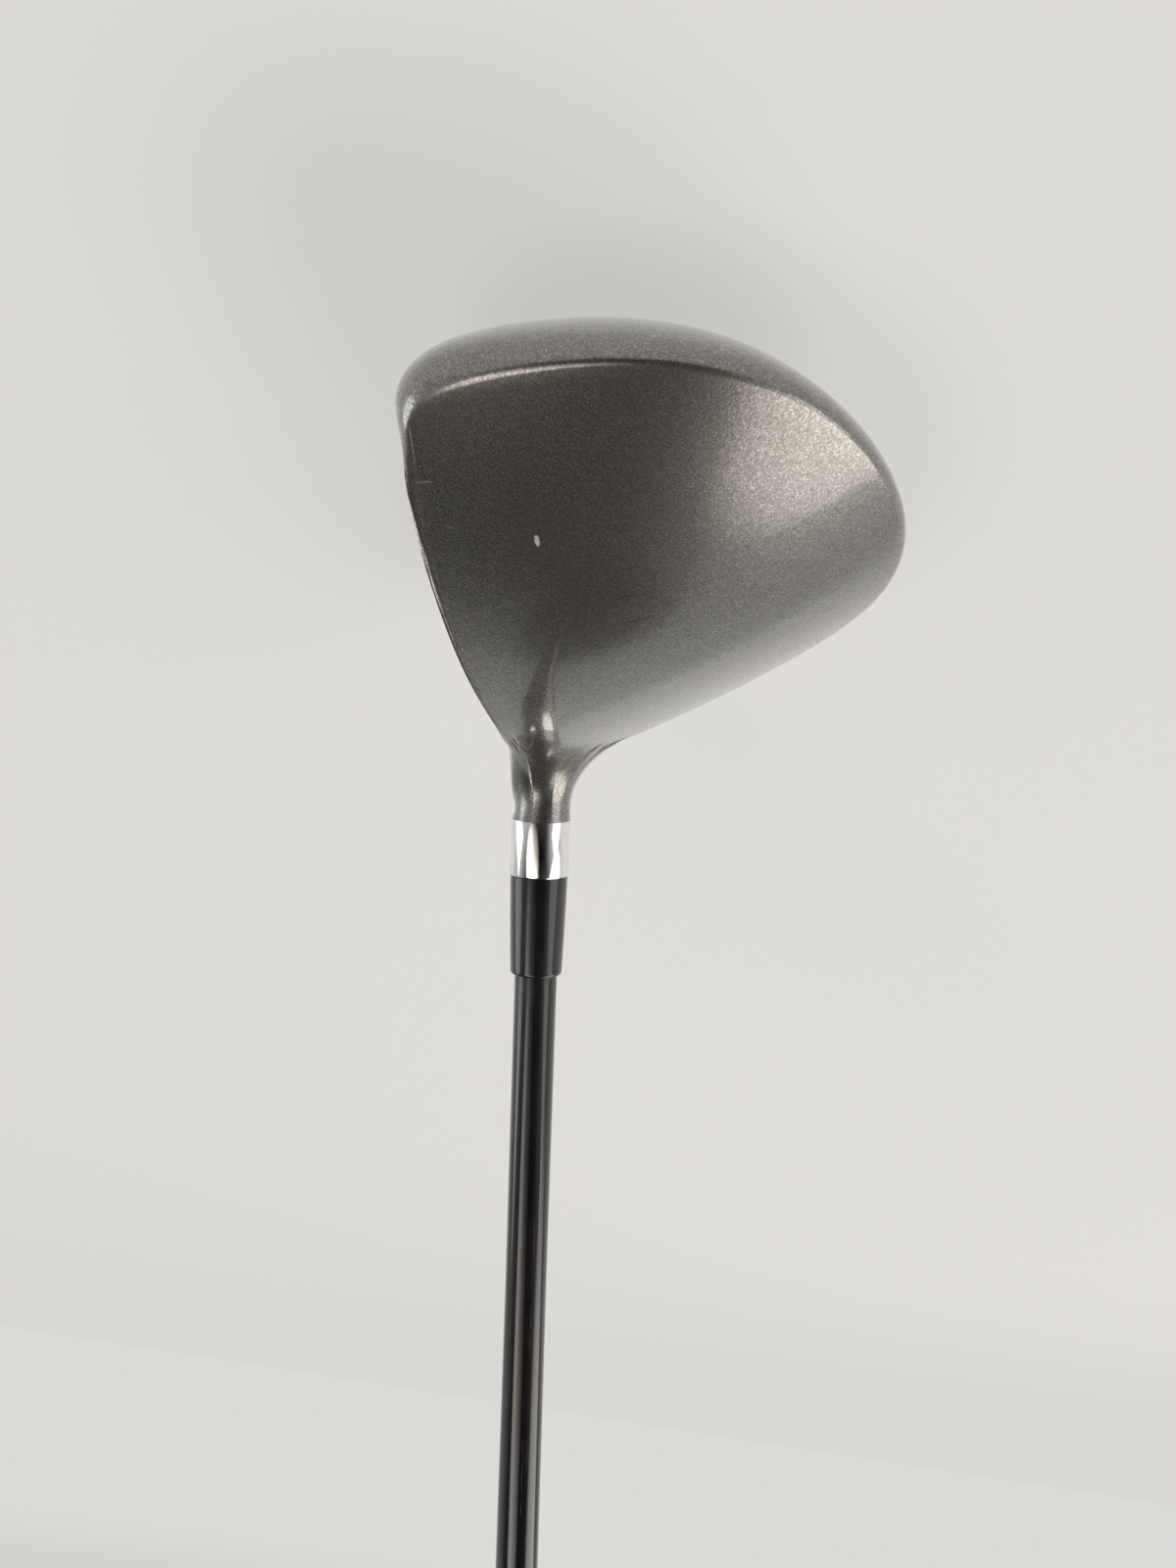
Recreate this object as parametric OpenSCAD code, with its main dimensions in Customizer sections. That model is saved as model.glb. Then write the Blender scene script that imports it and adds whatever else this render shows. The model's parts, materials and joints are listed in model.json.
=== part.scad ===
// Golf driver: hollow metal head, bonded shaft, ferrule and rubber grip.
// The head stands at address: sole on the ground, face towards -Y, toe towards -X,
// shaft leaning towards +X. The origin is the centre of the flat pad under the sole.

/* [Head] */
// From the shaft's axis, where it meets the ground, to the toe
toe_reach = 86; // [80:1:104]
// From the shaft's axis to the heel end of the crown
heel_reach = 32; // [30:1:35]
// From the shaft's axis to the back of the crown
back_reach = 70; // [62:1:84]
// From the shaft's axis to the front of the heel
front_reach = 11.4; // [11.2:0.1:13]
// Height of the crown above the ground
head_h = 48.3; // [46:0.1:58]
// Wall of the cast body
wall = 1; // [0.8:0.1:1.4]
// Radius of the crown from toe to heel
crown_rx = 139; // [120:1:200]
// Radius of the crown from front to back
crown_ry = 111; // [100:1:180]
// Angle between the shaft and the ground
lie = 57; // [55:0.5:59]

/* [Face] */
// Slope of the face back from the vertical
loft = 10; // [7:0.5:13]
// Radius of the face from top to bottom
face_roll = 300; // [250:10:500]
// Thickness of the face plate
face_t = 2.8; // [2.2:0.1:3.2]
// Pitch of the score lines
score_pitch = 4.5; // [3.5:0.5:5]
// Width of a score line
score_w = 0.8; // [0.6:0.1:1]
// Height of the lower end of the face above the ground
lead_h = 7; // [5:0.5:9]

/* [Sole] */
// Radius of the flat pad that the head rests on
pad_r = 11; // [9:0.5:12]
// From the shaft's axis to the centre of the pad, towards the toe
pad_toe = 35; // [32:1:40]
// From the shaft's axis to the centre of the pad, towards the back
pad_back = 12; // [10:1:14]
// Thickness of the sole plate
sole_t = 1.6; // [1.2:0.1:2]
// Height of the cast weight pad at the back of the sole
weight_t = 5; // [3:0.5:7]
// Height of the ribs inside the sole
rib_h = 4; // [2:0.5:6]

/* [Hosel] */
// Diameter of the hosel
hosel_d = 12.6; // [12.2:0.1:13.4]
// Length of the polished end of the hosel
collar_l = 12; // [8:0.5:16]
// Height of the fillet between crown and neck
fillet_h = 9.5; // [8:0.5:14]
// Reach of the fillet over the crown
fillet_w = 9; // [6:0.5:12]
// Straight painted neck above the fillet
neck_l = 1.9; // [1:0.1:6]
// Depth of the blind bore below the hosel's top
bore_depth = 34; // [30:1:36]
// Wall of the painted neck around the tube
neck_wall = 0.9; // [0.8:0.1:1.1]

/* [Shaft and ferrule] */
// Length of the club along the shaft, from ground to cap
club_l = 1130; // [1000:5:1170]
// Diameter of the shaft's parallel tip
tip_d = 9.1; // [8.6:0.1:9.5]
// Diameter of the shaft's butt
butt_d = 15.2; // [14.7:0.1:15.8]
// Length of the parallel tip above the hosel
tip_l = 90; // [60:5:150]
// Length of the parallel butt
butt_l = 90; // [60:5:200]
// Wall of the shaft at the tip
tip_wall = 2; // [1.6:0.1:2.4]
// Wall of the shaft at the butt
butt_wall = 1; // [0.8:0.1:1.4]
// Paint and surface removed where the tip is glued
tip_strip = 0.1; // [0.05:0.05:0.15]
// Thickness of the glue around the tip
glue_t = 0.1; // [0.05:0.05:0.15]
// Length of the ferrule
ferrule_l = 21.5; // [15:0.5:28]
// Length of the brass plug in the tip
plug_l = 14; // [8:1:20]

/* [Grip] */
// Length of the rubber grip
grip_l = 265; // [240:5:290]
// Diameter of the grip's mouth
mouth_d = 19.6; // [19:0.1:21]
// Diameter of the grip at the cap
grip_d = 26.4; // [25:0.1:28]
// Thickness of the tape under the grip
tape_t = 0.2; // [0.1:0.1:0.4]
// Thickness of the cap
cap_t = 4; // [3:0.5:6]
// Diameter of the vent hole in the cap
vent_d = 4.6; // [4:0.1:5]

/* [Hidden] */
$fn = 72;

// ---- the shaft's axis
S = [cos(lie), 0, sin(lie)];
AXIS = [pad_toe, -pad_back, 0];
function along(s) = AXIS + s * S;
module on_axis(s = 0) {
    translate(along(s)) rotate([0, 90 - lie, 0]) children();
}

// ---- the crown: one smooth surface, z as a function of x and y
CROWN_C = [pad_toe - 30, 5 - pad_back];
crown_tilt = 0.05;
crown_twist = 0.0022;
crown_droop = 0.00006;
kx = 1 / (2 * crown_rx);
ky = 1 / (2 * crown_ry);
function crown_z(x, y) =
    let (u = x - CROWN_C.x, v = y - CROWN_C.y, heel = max(0, u + 10))
    head_h - crown_tilt * v - kx * u * u - ky * v * v - crown_twist * u * v
        - crown_droop * heel * heel * max(0, v);
// distance along the shaft's direction from a point to the crown, by repeated steps
function crown_s(p, s = 0, steps = 12) =
    let (q = p + s * S, gap = crown_z(q.x, q.y) - q.z)
    steps == 0 ? s : crown_s(p, s + gap / (S.z + 0.25), steps - 1);

// ---- the crown's edge in plan: a closed smooth curve from the heel along the face to the toe
// and round the back. Each point is a share of the reaches: toe and heel, front and back.
EDGE = [[1.05, -0.995], [0.17, -0.093], [-0.233, -0.242], [-0.581, -0.29], [-0.907, -0.32],
        [-0.980, 0.057], [-1.025, 0.33], [-0.978, 0.657], [-0.767, 0.907], [-0.442, 1.035],
        [-0.116, 0.93], [0.25, 0.61], [0.54, 0.28], [1.07, 0.13]];
// at each of those points: lean of the skirt, its fullness above and below, share of the
// way out that the sole plate reaches, and the rise of the sole there
SKIRT = [[-4, 0.40, 0.30, 0.52, 3.2], [-4, 0.34, 0.30, 0.72, 2.2], [0, 0.34, 0.30, 1.06, 1.2],
         [0, 0.34, 0.30, 0.98, 1.6], [60, 0.36, 0.24, 0.54, 3.8], [48, 0.32, 0.22, 0.50, 4.4],
         [16, 0.29, 0.24, 0.51, 4.4], [25, 0.30, 0.27, 0.53, 4.8], [26, 0.32, 0.30, 0.55, 5.2],
         [21, 0.32, 0.30, 0.56, 5.4], [12, 0.34, 0.32, 0.58, 5.0], [6, 0.34, 0.32, 0.58, 4.4],
         [-4, 0.34, 0.32, 0.56, 4.0], [-14, 0.36, 0.32, 0.54, 3.6]];
// height of the face's lower end over the lowest, at the same points
RISE = [14, 7, 0.5, 2.5, 16, 22, 22, 20, 20, 20, 20, 20, 20, 20];
// columns of the grid between one of those points and the next
STEPS = [9, 6, 6, 6, 7, 6, 6, 6, 6, 6, 6, 6, 6, 6];
T = [for (k = [0 : len(STEPS) - 1]) for (n = [0 : STEPS[k] - 1]) k + n / STEPS[k]];
COLS = len(T);
function column(t) = len([for (u = T) if (u < t - 0.01) u]);
function spline(P, t) =
    let (n = len(P), i = floor(t) + n, f = t - floor(t),
         w = [pow(1 - f, 3), 3 * pow(f, 3) - 6 * f * f + 4,
              -3 * pow(f, 3) + 3 * f * f + 3 * f + 1, pow(f, 3)] / 6)
    w[0] * P[(i + n - 1) % n] + w[1] * P[i % n] + w[2] * P[(i + 1) % n] + w[3] * P[(i + 2) % n];
function edge_xy(t) =
    let (e = spline([for (p = EDGE) [p.x * (p.x < 0 ? toe_reach : heel_reach),
                                     p.y * (p.y < 0 ? front_reach : back_reach)]], t))
    [AXIS.x + e.x, AXIS.y + e.y];

// ---- rows on the neck and crown, from the hosel's collar to the crown's edge
hosel_r = hosel_d / 2;
fillet_arc = (fillet_h + fillet_w) / 2 * PI / 2;
crown_rows = 17;
axis_s = crown_s(AXIS);
collar_s = axis_s + fillet_h + neck_l;
top_s = collar_s + collar_l;
function crown_rho(t) =
    let (e = edge_xy(t),
         d = [e.x, e.y, crown_z(e.x, e.y)] - AXIS)
    d - (d * S) * S;
function crown_point(t, k) =
    let (out = crown_rho(t),
         rho = norm(out),
         dir = out / rho,
         reach = rho - hosel_r,
         turn = reach < fillet_w ? acos(1 - reach / fillet_w) : 90,
         length = fillet_arc * turn / 90 + max(0, reach - fillet_w),
         at = length * pow(k / crown_rows, 1.7),
         psi = min(90, 90 * at / fillet_arc),
         r = hosel_r + fillet_w * (1 - cos(psi)) + max(0, at - fillet_arc),
         p = AXIS + r * dir,
         s = crown_s(p) + fillet_h * (1 - sin(psi)))
    p + s * S;
function collar_point(t) = let (out = crown_rho(t)) along(collar_s) + hosel_r * out / norm(out);

// ---- rows on the face and skirt, from the crown's edge to the sole plate
skirt_rows = 15;
face_top = 2;
face_bottom = 8;
face_heel = 0.8;
face_toe = 3.67;
face_mid = (face_heel + face_toe) / 2;
face_half = (face_toe - face_heel) / 2;
face_from = column(face_heel);
face_to = column(face_toe);
function smooth(x) = let (c = min(1, max(0, x))) c * c * (3 - 2 * c);
function face_share(t) = 1 - smooth((abs(t - face_mid) - face_half) / 0.7);
function corner(t) = pow(min(1, abs(t - face_mid) / face_half), 5);
function face_point(t, z) =
    let (r = crown_point(t, crown_rows), d = r.z - z)
    r - [0, tan(loft) * d - d * d / (2 * face_roll), d];
function lead_z(t) = lead_h + spline(RISE, t);
function sole_point(t) =
    let (e = edge_xy(t), k = spline(SKIRT, t)) [e.x * k[3], e.y * k[3], k[4]];
function pad_point(t) =
    let (q = sole_point(t)) [q.x, q.y, 0] * pad_r / norm([q.x, q.y]);
function sole_out(t) =
    let (q = sole_point(t), p = pad_point(t), l = norm([q.x - p.x, q.y - p.y]),
         u = [(q.x - p.x) / l, (q.y - p.y) / l, 2 * q.z / l])
    u / norm(u);
function bezier3(a, b, c, d, v) =
    pow(1 - v, 3) * a + 3 * v * pow(1 - v, 2) * b + 3 * v * v * (1 - v) * c + pow(v, 3) * d;
function bezier2(a, b, c, v) = pow(1 - v, 2) * a + 2 * v * (1 - v) * b + v * v * c;
function edge_out(t) =
    let (e = edge_xy(t + 0.2) - edge_xy(t - 0.2)) [-e.y, e.x] / norm(e);
function side_point(t, v) =
    let (k = spline(SKIRT, t), r = crown_point(t, crown_rows), q = sole_point(t),
         h = r.z - q.z,
         u = edge_out(t),
         down = [u.x * sin(k[0]), u.y * sin(k[0]), -cos(k[0])])
    bezier3(r, r + k[1] * h * down, q + k[2] * h * sole_out(t), q, v);
// share of the way down at which a column leaves the face for the round under it
function face_end(t) =
    let (r = crown_point(t, crown_rows), q = sole_point(t), l = face_point(t, lead_z(t)))
    (r.z - l.z) / (r.z - l.z + norm(l - q));
function front_point(t, v) =
    let (r = crown_point(t, crown_rows), q = sole_point(t), e = face_end(t))
    v <= e ? face_point(t, r.z - (r.z - lead_z(t)) * v / e)
    : let (l = face_point(t, lead_z(t)),
           c = face_point(t, q.z + (0.3 + 0.4 * corner(t)) * (l.z - q.z)))
      bezier2(l, c, q, (v - e) / (1 - e));
function row_v(t, j) =
    let (w = face_share(t),
         v1 = face_end(t) * (0.06 + 0.24 * corner(t)),
         v2 = face_end(t) * (0.98 - 0.28 * corner(t)),
         f = j <= face_top ? v1 * j / face_top
             : j <= face_bottom ? v1 + (v2 - v1) * (j - face_top) / (face_bottom - face_top)
             : v2 + (1 - v2) * (j - face_bottom) / (skirt_rows - face_bottom))
    w * f + (1 - w) * j / skirt_rows;
function skirt_point(t, j) =
    let (w = face_share(t), v = row_v(t, j))
    w >= 1 ? front_point(t, v)
    : w <= 0 ? side_point(t, v)
    : w * front_point(t, v) + (1 - w) * side_point(t, v);

// ---- rows on the sole plate, from the skirt to the pad
sole_rows = 5;
function plate_point(t, j) =
    let (q = sole_point(t), p = pad_point(t), m = 1 - j / sole_rows)
    [p.x + (q.x - p.x) * m, p.y + (q.y - p.y) * m, q.z * m * m];

// ---- the whole skin of the head as one grid of columns and rows
ridge = crown_rows + 1;
hem = ridge + skirt_rows;
last = hem + sole_rows;
function skin(i, j) =
    let (t = T[i])
    j == 0 ? collar_point(t)
    : j <= ridge ? crown_point(t, j - 1)
    : j <= hem ? skirt_point(t, j - ridge)
    : plate_point(t, j - hem);
GRID = [for (i = [0 : COLS - 1]) [for (j = [0 : last]) skin(i, j)]];
function at(i, j) = GRID[(i + COLS) % COLS][j];
function normal(i, j) =
    let (a = at(i + 1, j) - at(i - 1, j),
         b = at(i, min(last, j + 1)) - at(i, max(0, j - 1)),
         n = cross(a, b))
    n / norm(n);
NORMAL = [for (i = [0 : COLS - 1]) [for (j = [0 : last]) normal(i, j)]];
function inset(i, j, depth) = at(i, j) - depth * NORMAL[(i + COLS) % COLS][j];

// A closed plate made of cells of the skin, between two depths under it. cells is a grid of
// true and false for each column and row; the depths are given for each row.
module plate(cells, outer, inner) {
    rows = last + 1;
    half = COLS * rows;
    function id(i, j) = ((i + COLS) % COLS) * rows + j;
    function on(i, j) = j >= 0 && j < last && cells[(i + COLS) % COLS][j];
    function used(i, j) = on(i, j) || on(i - 1, j) || on(i, j - 1) || on(i - 1, j - 1);
    points = concat([for (i = [0 : COLS - 1]) for (j = [0 : last])
                         used(i, j) ? inset(i, j, outer[j]) : [0, 0, 0]],
                    [for (i = [0 : COLS - 1]) for (j = [0 : last])
                         used(i, j) ? inset(i, j, inner[j]) : [0, 0, 0]]);
    function quad(a, b, c, d) = [[a, c, b], [a, d, c]];
    faces = [for (i = [0 : COLS - 1]) for (j = [0 : last - 1]) if (on(i, j))
        each concat(
            quad(id(i, j), id(i + 1, j), id(i + 1, j + 1), id(i, j + 1)),
            quad(half + id(i, j), half + id(i, j + 1), half + id(i + 1, j + 1), half + id(i + 1, j)),
            on(i - 1, j) ? [] : quad(id(i, j), id(i, j + 1), half + id(i, j + 1), half + id(i, j)),
            on(i + 1, j) ? [] : quad(id(i + 1, j + 1), id(i + 1, j),
                                     half + id(i + 1, j), half + id(i + 1, j + 1)),
            on(i, j - 1) ? [] : quad(id(i + 1, j), id(i, j), half + id(i, j), half + id(i + 1, j)),
            on(i, j + 1) ? [] : quad(id(i, j + 1), id(i + 1, j + 1),
                                     half + id(i + 1, j + 1), half + id(i, j + 1)))];
    polyhedron(points, faces, convexity = 8);
}

// ---- which cells of the skin belong to which plate
function is_face(i, j) =
    i >= face_from && i < face_to && j >= ridge + face_top && j < ridge + face_bottom;
function block(i0, i1, j0, j1) =
    [for (i = [0 : COLS - 1]) [for (j = [0 : last - 1]) i >= i0 && i < i1 && j >= j0 && j < j1]];
CASTING = [for (i = [0 : COLS - 1]) [for (j = [0 : last - 1]) j < hem && !is_face(i, j)]];
FACE = [for (i = [0 : COLS - 1]) [for (j = [0 : last - 1]) is_face(i, j)]];
SOLE = block(0, COLS, hem, last);
function depths(d) = [for (j = [0 : last]) d];

// The cast body: crown, skirt and painted neck in one wall.
module head_casting() {
    neck_rows = 4;
    color("#6d6c6a")
        plate(CASTING, depths(0), [for (j = [0 : last]) j < neck_rows ? neck_wall : wall]);
}

// The forged face, welded into the body's front opening.
module face_plate() {
    color("#9a9a98") plate(FACE, depths(0), depths(face_t));
}

// Paint in the score lines, level with the face: short curved bars on both sides of its middle.
score_depth = 0.3;
score_proud = 0.03;
score_rows = 6;
score_start = lead_h + 8;
score_reach = [0.27, 0.83];
score_steps = 8;
module score_line(t0, t1, z) {
    function corner_point(t, up, depth) = face_point(t, z + up) + [0, depth, 0];
    ring = [for (k = [0 : score_steps]) let (t = t0 + (t1 - t0) * k / score_steps)
            each [corner_point(t, -score_w / 2, -score_proud),
                  corner_point(t, score_w / 2, -score_proud),
                  corner_point(t, score_w / 2, score_depth),
                  corner_point(t, -score_w / 2, score_depth)]];
    sides = [for (k = [0 : score_steps - 1]) for (c = [0 : 3])
             let (a = 4 * k + c, b = 4 * k + (c + 1) % 4)
             each [[a, b + 4, b], [a, a + 4, b + 4]]];
    end = 4 * score_steps;
    polyhedron(ring, concat(sides, [[0, 2, 3], [0, 1, 2]],
                            [[end, end + 2, end + 1], [end, end + 3, end + 2]]));
}
module score_lines() {
    color("#e8e6df")
        for (row = [0 : score_rows - 1], side = [-1, 1]) {
            z = score_start + row * score_pitch;
            ends = [face_mid + side * score_reach[0], face_mid + side * score_reach[1]];
            score_line(min(ends), max(ends), z);
        }
}

// The sole plate, welded over the opening under the body.
module sole_plate() {
    color("#a2a19e") plate(SOLE, depths(0), depths(sole_t));
}

// A plain disc in the middle of the sole, put in from inside; its underside is the flat
// pad that the club stands on.
medallion_gap = 0.2;
flange_w = 1.3;
flange_t = 1;
module sole_medallion() {
    color("#8d8b87") {
        cylinder(r = pad_r - medallion_gap, h = sole_t + medallion_gap + flange_t);
        translate([0, 0, sole_t + medallion_gap]) cylinder(r = pad_r + flange_w, h = flange_t);
    }
}

// Weight cast low at the back, inside the skirt.
module rear_weight() {
    color("#7c7a76")
        plate(block(column(7.5), column(10.5), hem - 4, hem), depths(wall), depths(wall + weight_t));
}

// Three ribs that stiffen the sole plate from inside.
module sole_ribs() {
    color("#8f8e8b")
        for (t = [1.5, 3, 8])
            plate(block(column(t), column(t) + 1, hem, last - 1), depths(sole_t),
                  depths(sole_t + rib_h));
}

// Soft glue poured in at the toe to catch loose weld beads.
glue_dab_t = 2;
module rattle_glue() {
    color("#c9a24b")
        plate(block(column(5.5), column(7), hem - 7, hem - 2), depths(wall),
              depths(wall + glue_dab_t));
}

// ---- hosel, shaft and ferrule, all turned about the shaft's axis
slip = 0.05;
weld_gap = 0.2;
tube_r = hosel_r - neck_wall - weld_gap;
tip_r = tip_d / 2;
glued_r = tip_r - tip_strip;
bore_r = glued_r + glue_t;
bore_s = top_s - bore_depth;
stop_l = 2;
module turned(outline) {
    on_axis() rotate_extrude() polygon(outline);
}

// The machined tube that carries the shaft. Its upper end is left bare and polished.
mouth_bevel = 0.4;
module hosel_tube() {
    color("#cfd0d2")
        turned([[bore_r, bore_s - stop_l], [tube_r, bore_s - stop_l], [tube_r, collar_s],
                [hosel_r, collar_s], [hosel_r, top_s - mouth_bevel],
                [hosel_r - mouth_bevel, top_s], [bore_r + mouth_bevel, top_s],
                [bore_r, top_s - mouth_bevel]]);
}

// Plug that closes the bottom of the bore, so that the shaft stops at its depth.
module bore_stop() {
    color("#8f9093")
        turned([[0, bore_s - stop_l], [bore_r - slip / 2, bore_s - stop_l],
                [bore_r - slip / 2, bore_s], [0, bore_s]]);
}

// The shaft: parallel tip, long taper, parallel butt, hollow from end to end.
seat_gap = 0.2;
tip_s = bore_s + seat_gap;
taper_s = top_s + tip_l;
cap_s = club_l - cap_t;
parallel_s = cap_s - butt_l;
function taper(a, b, s) = a + (b - a) * min(1, max(0, (s - taper_s) / (parallel_s - taper_s)));
function shaft_r(s) = taper(tip_r, butt_d / 2, s);
function hollow_r(s) = taper(tip_r - tip_wall, butt_d / 2 - butt_wall, s);
module shaft() {
    color("#17171a")
        turned([[hollow_r(tip_s), tip_s], [glued_r, tip_s], [glued_r, top_s], [tip_r, top_s],
                [tip_r, taper_s], [shaft_r(parallel_s), parallel_s], [shaft_r(cap_s), cap_s],
                [hollow_r(cap_s), cap_s], [hollow_r(parallel_s), parallel_s],
                [hollow_r(taper_s), taper_s]]);
}

// The sleeve of epoxy between the tip and the bore.
module shaft_glue() {
    color("#d8c58a")
        turned([[glued_r, tip_s], [bore_r, tip_s], [bore_r, top_s - mouth_bevel],
                [glued_r, top_s - mouth_bevel]]);
}

// Brass plug that balances the club, and the cork that keeps glue out of the shaft.
plug_r = tip_r - tip_wall - slip / 2;
plug_s = tip_s + 1;
cork_l = 8;
module tip_plug() {
    color("#b08d3c")
        turned([[0, plug_s], [plug_r, plug_s], [plug_r, plug_s + plug_l], [0, plug_s + plug_l]]);
}
module tip_cork() {
    cork_s = plug_s + plug_l;
    color("#b58a5a")
        turned([[0, cork_s], [plug_r, cork_s], [plug_r, cork_s + cork_l], [0, cork_s + cork_l]]);
}

// The ferrule: a plastic trim ring pushed down the shaft onto the hosel, dressed to a taper.
ferrule_step = 0.2;
ferrule_top_r = tip_r + 1;
ferrule_round = 0.7;
module ferrule() {
    inner = tip_r + slip;
    end = top_s + ferrule_l;
    color("#101012")
        turned(concat([[inner, top_s], [hosel_r - ferrule_step, top_s]],
                      [for (a = [0 : 15 : 90])
                          [ferrule_top_r - ferrule_round * (1 - cos(a)),
                           end - ferrule_round * (1 - sin(a))]],
                      [[inner, end]]));
}

// ---- the grip
mouth_s = cap_s - grip_l;
tape_in = 4;
lip_round = 1.2;
module grip_tape() {
    start = mouth_s + tape_in;
    color("#d9d2b8")
        turned([[shaft_r(start), start], [shaft_r(start) + tape_t, start],
                [shaft_r(parallel_s) + tape_t, parallel_s], [shaft_r(cap_s) + tape_t, cap_s],
                [shaft_r(cap_s), cap_s], [shaft_r(parallel_s), parallel_s]]);
}
module grip_sleeve() {
    bore = function (s) shaft_r(s) + tape_t;
    color("#1b1b1c")
        turned(concat([[bore(mouth_s), mouth_s]],
                      [for (a = [0 : 15 : 90])
                          [mouth_d / 2 - lip_round * (1 - sin(a)),
                           mouth_s + lip_round * (1 - cos(a))]],
                      [[grip_d / 2, cap_s], [bore(cap_s), cap_s], [bore(parallel_s), parallel_s]]));
}

// The end cap, which stops against the shaft's butt, with a vent hole through it.
cap_round = 2;
module grip_cap() {
    color("#232324")
        turned(concat([[vent_d / 2, cap_s], [grip_d / 2, cap_s]],
                      [for (a = [0 : 15 : 90])
                          [grip_d / 2 - cap_round * (1 - cos(a)),
                           club_l - cap_round * (1 - sin(a))]],
                      [[vent_d / 2, club_l]]));
}

head_casting();
face_plate();
score_lines();
sole_plate();
sole_medallion();
rear_weight();
sole_ribs();
rattle_glue();
hosel_tube();
bore_stop();
shaft_glue();
ferrule();
shaft();
tip_plug();
tip_cork();
grip_tape();
grip_sleeve();
grip_cap();
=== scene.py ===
import math
import json
import bpy
import bmesh
from mathutils import Matrix, Vector

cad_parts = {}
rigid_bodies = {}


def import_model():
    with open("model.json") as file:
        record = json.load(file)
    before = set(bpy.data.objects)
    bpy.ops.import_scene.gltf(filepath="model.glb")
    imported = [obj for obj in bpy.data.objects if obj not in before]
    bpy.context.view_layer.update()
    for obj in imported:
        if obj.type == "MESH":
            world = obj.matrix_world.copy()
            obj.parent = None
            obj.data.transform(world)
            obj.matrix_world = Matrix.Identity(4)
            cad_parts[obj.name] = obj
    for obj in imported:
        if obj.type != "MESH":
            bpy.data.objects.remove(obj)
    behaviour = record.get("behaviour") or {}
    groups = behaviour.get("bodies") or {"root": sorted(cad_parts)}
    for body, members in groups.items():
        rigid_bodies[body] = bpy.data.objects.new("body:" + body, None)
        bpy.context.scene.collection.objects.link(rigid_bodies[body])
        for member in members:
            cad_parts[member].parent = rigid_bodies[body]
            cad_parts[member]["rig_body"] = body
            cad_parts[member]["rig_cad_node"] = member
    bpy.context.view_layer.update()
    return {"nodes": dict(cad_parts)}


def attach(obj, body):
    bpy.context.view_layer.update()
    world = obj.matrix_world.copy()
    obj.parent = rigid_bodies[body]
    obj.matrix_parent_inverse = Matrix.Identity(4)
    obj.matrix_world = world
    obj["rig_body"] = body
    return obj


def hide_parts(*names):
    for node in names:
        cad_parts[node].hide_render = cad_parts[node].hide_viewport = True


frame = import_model()
MM = 0.001


# ---- Cast body: crown, skirt and neck.
# One thin shell of cast steel, made by lost wax, ground smooth, then sprayed in a
# charcoal coat full of metal flake and covered with a hard clear coat.
crown_edge_round = 0.8 * MM
flake_size = 0.26 * MM
lie = math.radians(57)
axis_foot = Vector((35, -12, 0)) * MM
axis_way = Vector((math.cos(lie), 0, math.sin(lie)))
head_middle = Vector((0, 12, 22)) * MM
crown_top = 48.3
crown_middle = (5, -7)
crown_rx = 139
crown_ry = 111
crown_tilt = 0.05
crown_twist = 0.0022
crown_droop = 0.00006
droop_start = -10
on_crown_slack = 0.06
sharp_angle = math.radians(50)
skin_angle = math.radians(40)
weld_gap = 0.01 * MM
blend_low = 34 * MM
blend_high = 56.5 * MM
blend_inner = 6.1 * MM
blend_outer = 20 * MM


def let_go():
    """Leaves nothing selected."""
    for other in bpy.context.selected_objects:
        other.select_set(False)


def take_up(piece):
    """Leaves only this piece selected and active."""
    let_go()
    piece.select_set(True)
    bpy.context.view_layer.objects.active = piece


def pick(piece, kind, wanted):
    """In edit mode, selects only the faces or edges for which wanted(item) is true."""
    bpy.ops.mesh.select_mode(type=kind)
    bpy.ops.mesh.select_all(action="DESELECT")
    body = bmesh.from_edit_mesh(piece.data)
    items = body.faces if kind == "FACE" else body.edges
    for item in items:
        if wanted(item):
            item.select_set(True)
    bmesh.update_edit_mesh(piece.data)


def joined_copy(node, name):
    """A copy of a CAD node with its loose triangles joined into one skin of quads."""
    piece = frame["nodes"][node].copy()
    piece.data = piece.data.copy()
    piece.name = name
    piece.parent = None
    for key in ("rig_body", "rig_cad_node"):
        if key in piece:
            del piece[key]
    bpy.context.scene.collection.objects.link(piece)
    take_up(piece)
    bpy.ops.object.mode_set(mode="EDIT")
    bpy.ops.mesh.select_all(action="SELECT")
    bpy.ops.mesh.customdata_custom_splitnormals_clear()
    bpy.ops.mesh.remove_doubles(threshold=weld_gap)
    bpy.ops.mesh.tris_convert_to_quads(face_threshold=0.7, shape_threshold=1.2)
    bpy.ops.object.mode_set(mode="OBJECT")
    return piece


def smooth_skin(piece, soft=lambda vertex: False):
    """Creases the cut edges, apart from the soft ones, and subdivides the rest to a round skin."""
    take_up(piece)
    bpy.ops.object.mode_set(mode="EDIT")
    pick(piece, "EDGE", lambda e: (len(e.link_faces) == 2 and e.calc_face_angle() > sharp_angle
                                   and not all(soft(v) for v in e.verts)))
    bpy.ops.transform.edge_crease(value=1)
    bpy.ops.object.mode_set(mode="OBJECT")
    rounding = piece.modifiers.new("rounding", "SUBSURF")
    rounding.levels = 1
    rounding.render_levels = 1
    bpy.ops.object.modifier_apply(modifier="rounding")
    bpy.ops.object.shade_smooth_by_angle(angle=skin_angle)


def hand_over(piece, slot, *nodes):
    """The finished piece stands for these CAD nodes and moves with the club."""
    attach(piece, "root")
    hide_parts(*nodes)


def crown_height(x, y):
    """Height of the crown over a place, all in millimetres."""
    u, v = x - crown_middle[0], y - crown_middle[1]
    heel = max(0, u - droop_start)
    bow = u * u / (2 * crown_rx) + v * v / (2 * crown_ry)
    return (crown_top - crown_tilt * v - bow - crown_twist * u * v
            - crown_droop * heel * heel * max(0, v))


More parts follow.
